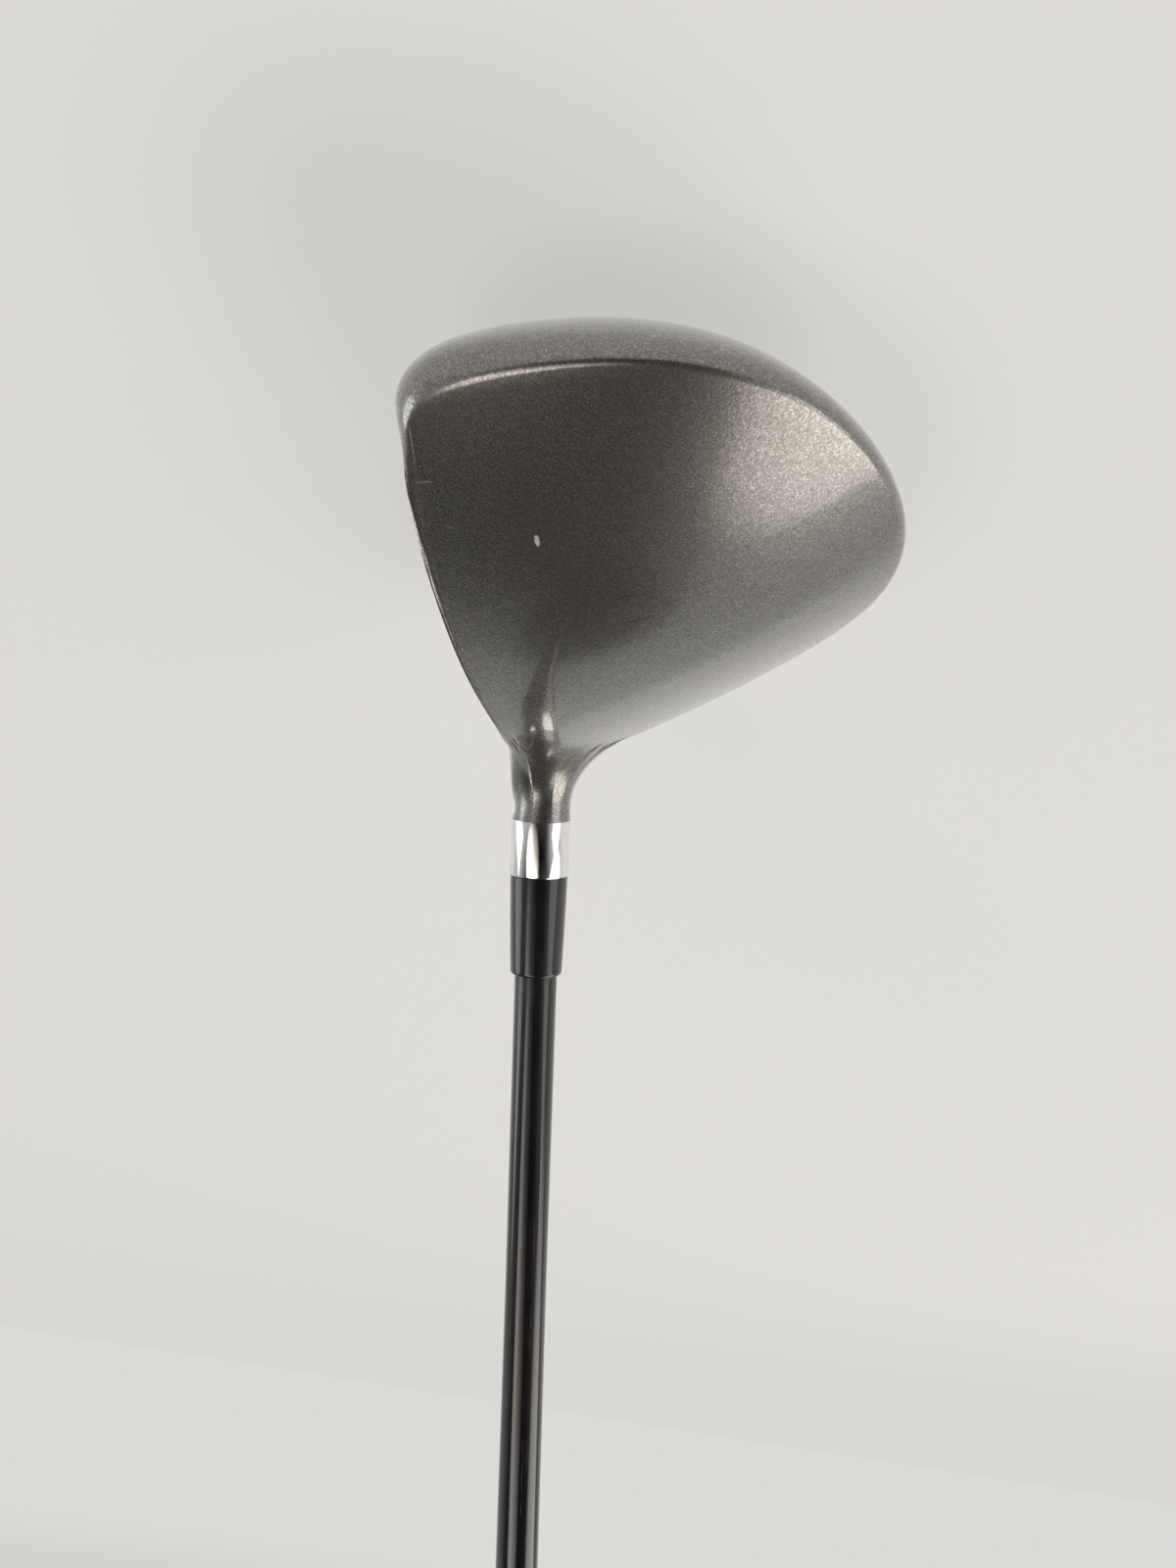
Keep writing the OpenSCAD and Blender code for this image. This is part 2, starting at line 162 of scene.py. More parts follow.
def on_crown(vertex):
    """Whether a corner of the mesh lies on the crown's own surface."""
    x, y, z = vertex.co / MM
    return abs(crown_height(x, y) - z) < on_crown_slack


def on_crown_edge(edge):
    """The rim where the crown turns down, wherever there is room beside it to round it."""
    if len(edge.link_faces) != 2 or not all(on_crown(v) for v in edge.verts):
        return False
    tops = [f for f in edge.link_faces if all(on_crown(v) for v in f.verts)]
    if len(tops) != 1:
        return False
    room = min(f.calc_area() for f in edge.link_faces) / edge.calc_length()
    return room > crown_edge_round


class Finish:
    """A named finish and the short words used to mix it."""

    def __init__(self, name):
        self.material = bpy.data.materials.new(name)
        self.material.use_nodes = True
        self.tree = self.material.node_tree
        self.shader = self.tree.nodes["Principled BSDF"]
        self.place = self.node("ShaderNodeTexCoord").outputs["Object"]

    def node(self, kind, **settings):
        """A new node of this kind."""
        made = self.tree.nodes.new(kind)
        for key, value in settings.items():
            setattr(made, key, value)
        return made

    def feed(self, socket, value):
        """Gives a socket either a fixed value or another node's output."""
        if isinstance(value, bpy.types.NodeSocket):
            self.tree.links.new(value, socket)
        else:
            socket.default_value = value

    def set(self, **values):
        """Sets the shader's own inputs by name."""
        for key, value in values.items():
            self.feed(self.shader.inputs[key.replace("_", " ")], value)

    def sums(self, way, a, b=0.0):
        """One step of arithmetic."""
        made = self.node("ShaderNodeMath", operation=way)
        self.feed(made.inputs[0], a)
        self.feed(made.inputs[1], b)
        return made.outputs[0]

    def between(self, value, low, high, to_low=0.0, to_high=1.0):
        """Fades from one number to another as the value goes from low to high."""
        made = self.node("ShaderNodeMapRange", interpolation_type="SMOOTHSTEP")
        for socket, number in zip(made.inputs[:5], (value, low, high, to_low, to_high)):
            self.feed(socket, number)
        return made.outputs[0]

    def moved(self, at=(0, 0, 0), turn=(0, 0, 0), size=(1, 1, 1)):
        """Places counted from a point, in a turned frame, in units of a size."""
        made = self.node("ShaderNodeMapping", vector_type="TEXTURE")
        self.feed(made.inputs["Vector"], self.place)
        made.inputs["Location"].default_value = at
        made.inputs["Rotation"].default_value = turn
        made.inputs["Scale"].default_value = size
        return made.outputs[0]

    def clouds(self, scale, detail=3.0, source=None, rough=0.5):
        """Cloudy noise about 0.5, with this many clouds to the metre."""
        made = self.node("ShaderNodeTexNoise")
        self.feed(made.inputs["Vector"], source or self.place)
        made.inputs["Scale"].default_value = scale
        made.inputs["Detail"].default_value = detail
        made.inputs["Roughness"].default_value = rough
        return made.outputs["Fac"]

    def cells(self, scale):
        """Small cells, this many to the metre."""
        made = self.node("ShaderNodeTexVoronoi")
        self.feed(made.inputs["Vector"], self.place)
        made.inputs["Scale"].default_value = scale
        return made

    def patch(self, at, size, turn=(0, 0, 0), ragged=0.35, edge=0.3):
        """1 inside a small oval patch at a place in millimetres, 0 outside, with a ragged rim."""
        inside = self.moved([v * MM for v in at], turn, [v * MM for v in size])
        length = self.node("ShaderNodeVectorMath", operation="LENGTH")
        self.feed(length.inputs[0], inside)
        wander = self.sums("SUBTRACT", self.clouds(2.5, 2, inside), 0.5)
        rim = self.sums("ADD", length.outputs["Value"], self.sums("MULTIPLY", wander, 2 * ragged))
        return self.between(rim, 1.0 - edge, 1.0, 1.0, 0.0)

    def either(self, *masks):
        """The strongest of several masks."""
        total = masks[0]
        for mask in masks[1:]:
            total = self.sums("MAXIMUM", total, mask)
        return total

    def blend(self, share, a, b):
        """Colour a with a share of colour b."""
        made = self.node("ShaderNodeMix", data_type="RGBA")
        self.feed(made.inputs[0], share)
        self.feed(made.inputs[6], a)
        self.feed(made.inputs[7], b)
        return made.outputs[2]

    def shades(self, value, *stops):
        """A run of colours, each at its own value."""
        made = self.node("ShaderNodeValToRGB")
        ramp = made.color_ramp
        while len(ramp.elements) < len(stops):
            ramp.elements.new(0.5)
        for element, (at, colour) in zip(ramp.elements, stops):
            element.position = at
            element.color = colour
        self.feed(made.inputs[0], value)
        return made.outputs[0]

    def bump(self, height, depth, strength=1.0, socket="Normal"):
        """Relief too fine to model, with its depth in metres."""
        made = self.node("ShaderNodeBump")
        made.inputs["Strength"].default_value = strength
        made.inputs["Distance"].default_value = depth
        self.feed(made.inputs["Height"], height)
        self.feed(self.shader.inputs[socket], made.outputs[0])

    def scratches(self, turn, size, cut):
        """Fine broken scratches that run one way; size is that of one scratch, in metres."""
        streaks = self.moved(turn=turn, size=size)
        line = self.between(self.clouds(1, 1, streaks), cut, cut + 0.05)
        return self.sums("MULTIPLY", line, self.between(self.clouds(160, 1), 0.48, 0.62))

    def coat(self, *objects):
        """Gives the finish to these objects and takes off what they had."""
        for each in objects:
            each.data.materials.clear()
            each.data.materials.append(self.material)


def grey(value, warm=0.0):
    """A grey, a little reddish when warm."""
    return (value * (1 + warm), value, value * (1 - warm), 1)


paint = Finish("charcoal_flake_paint")
flakes = paint.cells(1 / flake_size)
flake = paint.node("ShaderNodeSeparateColor")
paint.feed(flake.inputs[0], flakes.outputs["Color"])
fine = paint.cells(2.2 / flake_size)
fine_split = paint.node("ShaderNodeSeparateColor")
paint.feed(fine_split.inputs[0], fine.outputs["Color"])
sparkle = paint.sums("ADD", paint.sums("MULTIPLY", flake.outputs[0], 0.6),
                     paint.sums("MULTIPLY", fine_split.outputs[1], 0.4))
metal = paint.shades(sparkle, (0.0, grey(0.105, 0.03)), (0.45, grey(0.185, 0.035)),
                     (0.75, grey(0.25, 0.04)), (1.0, grey(0.46, 0.05)))
brown = paint.patch((-26, 4, 42), (20, 10, 14), ragged=0.3, edge=0.8)
metal = paint.blend(paint.sums("MULTIPLY", brown, 0.25), metal, (0.2, 0.13, 0.115, 1))
chip = paint.patch((-24.6, 3.3, 44.9), (1.3, 0.45, 1.5))
edge_chips = paint.either(
    paint.patch((-45.5, -14.6, 38.4), (0.9, 0.5, 0.9)),
    paint.patch((-50.5, 21.8, 30.1), (0.5, 0.4, 0.5)),
    paint.patch((-47.9, 30.9, 30.0), (0.4, 0.6, 0.4)),
    paint.patch((-20.0, -15.2, 43.9), (1.1, 0.35, 0.6)),
    paint.patch((-4.0, -15.0, 45.2), (0.6, 0.3, 0.5)))
rust_spot = paint.patch((-50.9, 10.5, 29.5), (0.6, 0.5, 0.5))
light_cut = paint.either(
    paint.patch((-34.5, -12.2, 42.2), (0.16, 1.6, 1.5), (0, 0, 0.15), 0.1),
    paint.patch((-27.0, -9.5, 43.4), (0.12, 2.1, 1.5), (0, 0, -0.25), 0.1))
dark_cuts = paint.sums(
    "MULTIPLY",
    paint.scratches((0, 0, math.radians(94)), (0.016, 0.00042, 0.006), 0.63),
    paint.patch((-11, 15, 44), (17, 22, 14), ragged=0.5, edge=0.7))
dust = paint.between(paint.clouds(900, 2, rough=0.7), 0.735, 0.76)
grime = paint.sums("MULTIPLY", paint.patch((53, -4.5, 41.5), (7, 4.5, 5), ragged=0.7, edge=0.8),
                   paint.between(paint.clouds(700, 3), 0.38, 0.62))
colour = paint.blend(paint.sums("MULTIPLY", dark_cuts, 0.7), metal, grey(0.05))
colour = paint.blend(paint.either(chip, edge_chips, light_cut), colour, grey(0.5, 0.03))
colour = paint.blend(rust_spot, colour, (0.42, 0.24, 0.1, 1))
colour = paint.blend(dust, colour, grey(0.03, 0.1))
colour = paint.blend(paint.sums("MULTIPLY", grime, 0.6), colour, (0.075, 0.062, 0.03, 1))
worn = paint.either(chip, edge_chips, rust_spot, grime, dust)
paint.set(Base_Color=colour,
          Metallic=paint.between(worn, 0.0, 1.0, 0.82, 0.1),
          Roughness=paint.between(sparkle, 0.0, 1.0, 0.34, 0.22),
          Coat_Weight=paint.sums("SUBTRACT", 1.0, worn),
          Coat_Roughness=0.045, Coat_IOR=1.5)
paint.bump(sparkle, 0.03 * MM, 0.2)
hazed = paint.clouds(420, 2)
paint.bump(paint.sums("SUBTRACT", paint.sums("MULTIPLY", hazed, 0.25),
                      paint.either(chip, edge_chips, light_cut)),
           0.04 * MM, 0.25, socket="Coat Normal")

body = joined_copy("head_casting", "painted_body")
bpy.ops.object.mode_set(mode="EDIT")
pick(body, "EDGE", on_crown_edge)
bpy.ops.mesh.bevel(offset=crown_edge_round, segments=3, profile=0.5, affect="EDGES",
                   clamp_overlap=False, loop_slide=True)


def on_neck_blend(vertex):
    """The outer skin where the neck flares into the crown, clear of the collar."""
    away = vertex.co - axis_foot
    s = away.dot(axis_way)
    off_axis = (away - s * axis_way).length
    outward = vertex.normal.dot(away - s * axis_way) > -0.2 * off_axis
    near = blend_low < s < blend_high and blend_inner < off_axis < blend_outer
    return near and outward and vertex.normal.z > -0.3


bpy.ops.mesh.select_mode(type="VERT")
bpy.ops.mesh.select_all(action="DESELECT")
for vertex in bmesh.from_edit_mesh(body.data).verts:
    if on_neck_blend(vertex):
        vertex.select_set(True)
bmesh.update_edit_mesh(body.data)
bpy.ops.mesh.vertices_smooth(factor=0.5, repeat=9)
bpy.ops.object.mode_set(mode="OBJECT")
smooth_skin(body, soft=on_neck_blend)
paint.coat(body)
hand_over(body, "head_paint", "head_casting")


# ---- Face plate.
# A thin plate of forged steel with a slight bulge, welded into the opening at the front
# and brushed from heel to toe, with small ball marks near its middle.
face_metal = Finish("brushed_face_steel")
grain = face_metal.clouds(1, 4, face_metal.moved(size=(0.03, 0.03, 0.00022)))
ball_marks = face_metal.either(
    face_metal.patch((4, -18, 27), (7, 9, 7), ragged=0.5, edge=0.5),
    face_metal.patch((-9, -18, 22), (6, 9, 5), ragged=0.6, edge=0.5))
face_metal.set(
    Base_Color=face_metal.blend(face_metal.sums("MULTIPLY", ball_marks, 0.3),
                                face_metal.shades(grain, (0.3, grey(0.36)), (0.7, grey(0.55))),
                                grey(0.3, 0.04)),
    Metallic=1.0,
    Roughness=face_metal.between(grain, 0.25, 0.75, 0.26, 0.44))
face_metal.bump(grain, 0.02 * MM, 0.4)
face = joined_copy("face_plate", "striking_face")
smooth_skin(face)
face_metal.coat(face)
hand_over(face, "face_metal", "face_plate")


# ---- Score lines.
# Shallow grooves pressed in the face on both sides of its middle and filled with white
# enamel, which is a little dirty and worn thin by play.
enamel = Finish("worn_white_enamel")
thin = enamel.between(enamel.clouds(500, 3), 0.55, 0.75)
enamel.set(Base_Color=enamel.blend(enamel.sums("MULTIPLY", thin, 0.45),
                                   (0.72, 0.71, 0.66, 1), (0.3, 0.29, 0.27, 1)),
           Roughness=enamel.between(thin, 0, 1, 0.45, 0.75))
enamel.bump(enamel.clouds(2500, 2), 0.02 * MM, 0.4)
enamel.coat(frame["nodes"]["score_lines"])


# ---- Sole plate.
# Sheet steel pressed to a shallow dish, welded under the body, brushed from front to back
# and scuffed where it slides over the turf.
sole_metal = Finish("scuffed_sole_steel")
brushed = sole_metal.clouds(1, 4, sole_metal.moved(size=(0.0002, 0.03, 0.03)))
scuffs = sole_metal.scratches((0, 0, math.radians(82)), (0.02, 0.0005, 0.01), 0.6)
sole_metal.set(
    Base_Color=sole_metal.blend(sole_metal.sums("MULTIPLY", scuffs, 0.6),
                                sole_metal.shades(brushed, (0.3, grey(0.38, 0.02)),
                                                  (0.7, grey(0.58, 0.02))), grey(0.22, 0.05)),
    Metallic=1.0,
    Roughness=sole_metal.between(brushed, 0.25, 0.75, 0.24, 0.4))
sole_metal.bump(sole_metal.sums("SUBTRACT", brushed, scuffs), 0.03 * MM, 0.4)
sole = joined_copy("sole_plate", "brushed_sole")
smooth_skin(sole)
sole_metal.coat(sole)
hand_over(sole, "sole_metal", "sole_plate")


# ---- Medallion in the sole.
# A turned steel disc put in from inside, with a flange that bears on the plate and three
# shallow rings cut in its underside, darkened and wiped.
disc_r = 10.8
disc_t = 2.8
flange_r = 12.3
flange_low = 1.8
disc_edge = 0.25
ring_deep = 0.25
ring_slope = 0.1
feed_mark_rate = 22000
seam_gap = 0.004 * MM
turned_angle = math.radians(35)


def turned_piece(name, outline, foot, way, steps=96):
    """Spins a closed outline of (radius, distance along the axis), in millimetres, round an axis."""
    aside = Vector((0, 1, 0))
    spots = [foot + (r * aside + s * way) * MM for r, s in outline]
    let_go()
    bpy.ops.mesh.primitive_plane_add(size=MM, location=(0, 0, 0))
    piece = bpy.context.object
    piece.name = name
    bpy.ops.object.mode_set(mode="EDIT")
    bpy.ops.mesh.select_mode(type="VERT")
    bpy.ops.mesh.merge(type="CENTER")
    bpy.ops.transform.translate(value=spots[0])
    for here, there in zip(spots, spots[1:]):
        bpy.ops.mesh.extrude_vertices_move(TRANSFORM_OT_translate={"value": there - here})
    bpy.ops.mesh.select_all(action="SELECT")
    if min(r for r, s in outline) > 0:
        profile = bmesh.from_edit_mesh(piece.data)
        profile.verts.ensure_lookup_table()
        ends = [v for v in profile.verts if len(v.link_edges) == 1]
        profile.edges.new(ends)
        for edge in profile.edges:
            edge.select_set(True)
        bmesh.update_edit_mesh(piece.data)
    bpy.ops.mesh.spin(steps=steps, angle=2 * math.pi, center=foot, axis=way)
    bpy.ops.mesh.select_all(action="SELECT")
    bpy.ops.mesh.remove_doubles(threshold=seam_gap)
    bpy.ops.mesh.normals_make_consistent(inside=False)
    bpy.ops.object.mode_set(mode="OBJECT")
    bpy.ops.object.shade_smooth_by_angle(angle=turned_angle)
    return piece


ring_cuts = [(2.2, 2.7), (5.4, 5.9), (8.6, 9.1)]
under = [(0, 0)]
for near, far in ring_cuts:
    under += [(near, 0), (near + ring_slope, ring_deep), (far - ring_slope, ring_deep), (far, 0)]
medal_metal = Finish("turned_medallion_steel")
from_middle = medal_metal.node("ShaderNodeVectorMath", operation="LENGTH")
medal_metal.feed(from_middle.inputs[0], medal_metal.moved(size=(1, 1, 100)))
tool_marks = medal_metal.node("ShaderNodeMath", operation="SINE")
medal_metal.feed(tool_marks.inputs[0],
                 medal_metal.sums("MULTIPLY", from_middle.outputs["Value"], feed_mark_rate))
medal_metal.set(
    Base_Color=medal_metal.shades(medal_metal.clouds(260, 4),
                                  (0.35, grey(0.24, 0.03)), (0.7, grey(0.46, 0.02))),
    Metallic=1.0,
    Roughness=medal_metal.between(medal_metal.clouds(500), 0.3, 0.7, 0.22, 0.4))
medal_metal.bump(tool_marks.outputs[0], 0.01 * MM, 0.35)
medallion = turned_piece("sole_disc", under + [
    (disc_r - disc_edge, 0), (disc_r, disc_edge), (disc_r, flange_low), (flange_r, flange_low),
    (flange_r, disc_t), (0, disc_t)], Vector((0, 0, 0)), Vector((0, 0, 1)))
medal_metal.coat(medallion)
hand_over(medallion, "medallion", "sole_medallion")


# ---- Inside the head: weight, ribs, blocking plug and rattle glue.
# The weight, the ribs and the plug are raw steel castings with a sandy skin, welded in
# before the sole goes on; the soft glue is poured in last and sets like amber rubber.
raw_steel = Finish("raw_cast_steel")
sand = raw_steel.clouds(1400, 4, rough=0.65)
scale_marks = raw_steel.between(raw_steel.clouds(150, 3), 0.4, 0.65)
raw_steel.set(Base_Color=raw_steel.blend(scale_marks, grey(0.2, 0.02), (0.12, 0.085, 0.06, 1)),
              Metallic=raw_steel.between(scale_marks, 0, 1, 0.9, 0.5),
              Roughness=raw_steel.between(sand, 0.3, 0.7, 0.5, 0.8))
raw_steel.bump(sand, 0.12 * MM, 0.7)
raw_steel.coat(*[frame["nodes"][n] for n in ("rear_weight", "sole_ribs", "bore_stop")])
amber = Finish("soft_amber_glue")
amber.set(Base_Color=amber.shades(amber.clouds(240, 3), (0.35, (0.42, 0.22, 0.05, 1)),
                                  (0.7, (0.66, 0.42, 0.12, 1))),
          Roughness=amber.between(amber.clouds(600), 0.3, 0.7, 0.18, 0.35))
amber.bump(amber.clouds(300, 2), 0.3 * MM, 0.5)
amber.coat(frame["nodes"]["rattle_glue"])


# ---- Hosel tube with its polished ring.
# Turned steel tube welded into the neck; the end that stands out of the paint is left
# bare and polished like a mirror, with a small bevel at its mouth.
hosel_r = 6.3
top_s = 68.985
bore_r = 4.55
tube_r = 5.2
collar_l = 12
bore_depth = 34
stop_l = 2
mouth_bevel = 0.4
ring_edge = 0.12
tube_low = top_s - bore_depth - stop_l
along_axis = (0, math.pi / 2 - lie, 0)
chrome = Finish("polished_hosel_steel")
chrome_mist = chrome.clouds(800, 3)
chrome.set(
    Base_Color=chrome.shades(chrome.clouds(200, 3), (0.3, grey(0.86, 0.01)), (0.8, grey(0.93))),
    Metallic=1.0,
    Roughness=chrome.between(chrome_mist, 0.3, 0.75, 0.04, 0.11))
chrome.bump(chrome.scratches(along_axis, (0.0003, 0.0003, 0.006), 0.66), 0.006 * MM, 0.3)
ring_s = top_s - collar_l
hosel = turned_piece("polished_hosel", [
    (bore_r, tube_low), (tube_r, tube_low), (tube_r, ring_s), (hosel_r - ring_edge, ring_s),
    (hosel_r, ring_s + ring_edge), (hosel_r, top_s - 0.3), (hosel_r - ring_edge, top_s - 0.08),
    (hosel_r - mouth_bevel, top_s), (bore_r + mouth_bevel, top_s), (bore_r, top_s - mouth_bevel)],
    axis_foot, axis_way)
chrome.coat(hosel)
hand_over(hosel, "hosel_polish", "hosel_tube")


# ---- Glue in the hosel.
# A thin sleeve of two-part epoxy with fine glass beads that keep the shaft centred,
# pale yellow and slightly cloudy once it has set.
epoxy = Finish("beaded_epoxy")
beads = epoxy.cells(4000)
epoxy.set(Base_Color=epoxy.shades(beads.outputs["Distance"], (0.1, (0.78, 0.7, 0.45, 1)),
                                  (0.7, (0.6, 0.48, 0.22, 1))),
          Roughness=0.3)
epoxy.bump(beads.outputs["Distance"], 0.05 * MM, 0.4)
epoxy.coat(frame["nodes"]["shaft_glue"])


# ---- Shaft.
# Layers of graphite sheet rolled on a tapered mandrel, baked, ground and sprayed gloss
# black under lacquer; hollow from end to end, with a parallel tip and butt.
tip_r = 4.55
glued_r = 4.45
hollow_tip_r = 2.55
butt_r = 7.6
hollow_butt_r = 6.6
seat_gap = 0.2
tip_l = 90
tip_s = top_s - bore_depth + seat_gap
taper_s = top_s + tip_l
butt_s = 1036
cap_s = 1126
lacquer = Finish("gloss_black_lacquer")
orange_peel = lacquer.clouds(700, 2)
hairlines = lacquer.scratches(along_axis, (0.00025, 0.00025, 0.02), 0.68)
tip_rub = lacquer.patch((82, -12, 78), (9, 9, 9), ragged=0.9, edge=0.8)
black = lacquer.shades(lacquer.clouds(60, 3), (0.3, (0.008, 0.008, 0.010, 1)),
                       (0.8, (0.016, 0.014, 0.016, 1)))
lacquer.set(Base_Color=lacquer.blend(lacquer.sums("MULTIPLY", hairlines, 0.6), black, grey(0.12)),
            Roughness=lacquer.between(lacquer.either(hairlines, tip_rub), 0, 1, 0.08, 0.3),
            Specular_IOR_Level=0.35, Coat_Weight=0.5, Coat_Roughness=0.03, Coat_IOR=1.5)
lacquer.bump(orange_peel, 0.02 * MM, 0.12)
rod = turned_piece("lacquered_shaft", [
    (hollow_tip_r, tip_s), (glued_r, tip_s), (glued_r, top_s), (tip_r, top_s), (tip_r, taper_s),
    (butt_r, butt_s), (butt_r, cap_s), (hollow_butt_r, cap_s), (hollow_butt_r, butt_s),
    (hollow_tip_r, taper_s)], axis_foot, axis_way)
lacquer.coat(rod)
hand_over(rod, "shaft_paint", "shaft")


# ---- Plug and cork in the tip.
# A brass slug balances the club, and a slice of cork above it keeps the glue out of the
# shaft while it is pushed home.
brass = Finish("cut_brass")
brass.set(Base_Color=brass.shades(brass.clouds(500, 3), (0.3, (0.42, 0.27, 0.07, 1)),
                                  (0.7, (0.66, 0.46, 0.16, 1))),
          Metallic=1.0, Roughness=brass.between(brass.clouds(900), 0.3, 0.7, 0.2, 0.42))
brass.bump(brass.clouds(2600, 2), 0.02 * MM, 0.3)
brass.coat(frame["nodes"]["tip_plug"])
cork = Finish("pressed_cork")
grains = cork.cells(1400)
cork.set(Base_Color=cork.shades(grains.outputs["Distance"], (0.1, (0.5, 0.3, 0.15, 1)),
                                (0.8, (0.2, 0.1, 0.05, 1))), Roughness=0.85)
cork.bump(grains.outputs["Distance"], 0.2 * MM, 0.7)
cork.coat(frame["nodes"]["tip_cork"])


# ---- Ferrule.
# A short sleeve of black cellulose plastic driven down the shaft onto the hosel, turned
# to the hosel's width, wiped with acetone to a gloss and rounded at its upper end.
ferrule_l = 21.5
step = 0.2
slip = 0.05
top_round = 0.7
foot_edge = 0.15
straight_l = 1.2
belly = 0.05
upper_r = 5.55
gloss = Finish("gloss_ferrule_plastic")
wiped = gloss.clouds(240, 3)
gloss.set(Base_Color=gloss.shades(gloss.clouds(150, 3), (0.3, (0.009, 0.009, 0.010, 1)),
                                  (0.8, (0.018, 0.017, 0.017, 1))),
          Roughness=gloss.between(wiped, 0.3, 0.7, 0.1, 0.2),
          Specular_IOR_Level=0.4, Coat_Weight=0.4, Coat_Roughness=0.06)
gloss.bump(gloss.clouds(500, 2), 0.03 * MM, 0.15)
low_r = hosel_r - step
end_s = top_s + ferrule_l
taper_l = ferrule_l - straight_l - top_round
sleeve = [(tip_r + slip, top_s), (low_r - foot_edge, top_s), (low_r, top_s + foot_edge),
          (low_r, top_s + straight_l)]
for share in (0.2, 0.4, 0.6, 0.8, 0.97):
    swell = belly * math.sin(math.pi * share)
    sleeve.append((low_r + (upper_r - low_r) * share + swell,
                   top_s + straight_l + taper_l * share))
for angle in (0, 22.5, 45, 67.5, 90):
    a = math.radians(angle)
    sleeve.append((upper_r - top_round * (1 - math.cos(a)), end_s - top_round * (1 - math.sin(a))))
sleeve.append((tip_r + slip, end_s))
trim = turned_piece("gloss_ferrule", sleeve, axis_foot, axis_way)
gloss.coat(trim)
hand_over(trim, "ferrule_black", "ferrule")


# ---- Grip tape.
# Thin paper tape, sticky on both sides, wound in a spiral round the butt before the
# rubber is slid on over solvent.
tape = Finish("wound_paper_tape")
fibres = tape.clouds(1600, 4)
spiral = tape.node("ShaderNodeTexWave", wave_type="BANDS", bands_direction="X")
tape.feed(spiral.inputs["Vector"], tape.moved(turn=(0, math.radians(-52), 0)))
spiral.inputs["Scale"].default_value = 12
tape.set(Base_Color=tape.blend(spiral.outputs["Fac"], (0.62, 0.56, 0.4, 1), (0.74, 0.69, 0.54, 1)),
         Roughness=tape.between(fibres, 0.3, 0.7, 0.6, 0.85))
tape.bump(tape.sums("ADD", fibres, spiral.outputs["Fac"]), 0.05 * MM, 0.4)
tape.coat(frame["nodes"]["grip_tape"])


# ---- Rubber grip.
# A tapered sleeve of black rubber, moulded with rows of small square pockets between
# plain bands, matt and slightly shiny where the hands have polished it.
grip_l = 265
mouth_r = 9.8
end_r = 13.2
lip = 1.2
tape_t = 0.2
mouth_s = cap_s - grip_l
pocket_in = 0.45
pocket_rim = 0.22
pocket_slope = 0.12
bore_limit_r = 9.3
end_margin = 0.5
rows = 96
turns = 64
groups = ((10, 34), (38, 62), (66, 90))


def shaft_r(s):
    """Radius of the shaft at a distance along the axis."""
    return tip_r + (butt_r - tip_r) * min(1, (s - taper_s) / (butt_s - taper_s))


rubber = Finish("moulded_black_rubber")
dull = rubber.clouds(2200, 3, rough=0.6)
polish = rubber.between(rubber.clouds(36, 3), 0.42, 0.62)
chalk = rubber.between(rubber.clouds(90, 4, rough=0.7), 0.56, 0.72)
rubber.set(Base_Color=rubber.blend(rubber.sums("MULTIPLY", chalk, 0.35),
                                   (0.017, 0.017, 0.018, 1), (0.07, 0.066, 0.06, 1)),
           Roughness=rubber.between(polish, 0, 1, 0.72, 0.5),
           Specular_IOR_Level=0.4)
rubber.bump(dull, 0.06 * MM, 0.6)
outer = []
for angle in (0, 30, 60, 90):
    a = math.radians(angle)
    outer.append((mouth_r - lip * (1 - math.sin(a)), mouth_s + lip * (1 - math.cos(a))))
for k in range(1, rows + 1):
    s = mouth_s + lip + (grip_l - lip) * k / rows
    outer.append((mouth_r + (end_r - mouth_r) * (s - mouth_s - lip) / (grip_l - lip), s))
grip = turned_piece("rubber_grip", [(shaft_r(mouth_s) + tape_t, mouth_s)] + outer + [
    (shaft_r(cap_s) + tape_t, cap_s), (shaft_r(butt_s) + tape_t, butt_s)],
    axis_foot, axis_way, steps=turns)
pitch = (grip_l - lip) / rows


def is_pocket(face):
    """Every other face in every other row of a group, on the outside of the sleeve."""
    away = face.calc_center_median() - axis_foot
    s = away.dot(axis_way) / MM
    across = away - away.dot(axis_way) * axis_way
    if across.length < bore_limit_r * MM or s < mouth_s + lip or s > cap_s - end_margin:
        return False
    row = int((s - mouth_s - lip) / pitch)
    side = math.atan2(across.y, across.dot(Vector((-axis_way.z, 0, axis_way.x))))
    column = int((side / (2 * math.pi) + 1) * turns)
    return any(a <= row < b for a, b in groups) and (row + column) % 2 == 0


bpy.ops.object.mode_set(mode="EDIT")
pick(grip, "FACE", is_pocket)
bpy.ops.mesh.inset(thickness=pocket_rim * MM, depth=0, use_individual=True)
bpy.ops.mesh.inset(thickness=pocket_slope * MM, depth=-pocket_in * MM, use_individual=True)
bpy.ops.object.mode_set(mode="OBJECT")
bpy.ops.object.shade_smooth_by_angle(angle=turned_angle)
rubber.coat(grip)
hand_over(grip, "grip_rubber", "grip_sleeve")


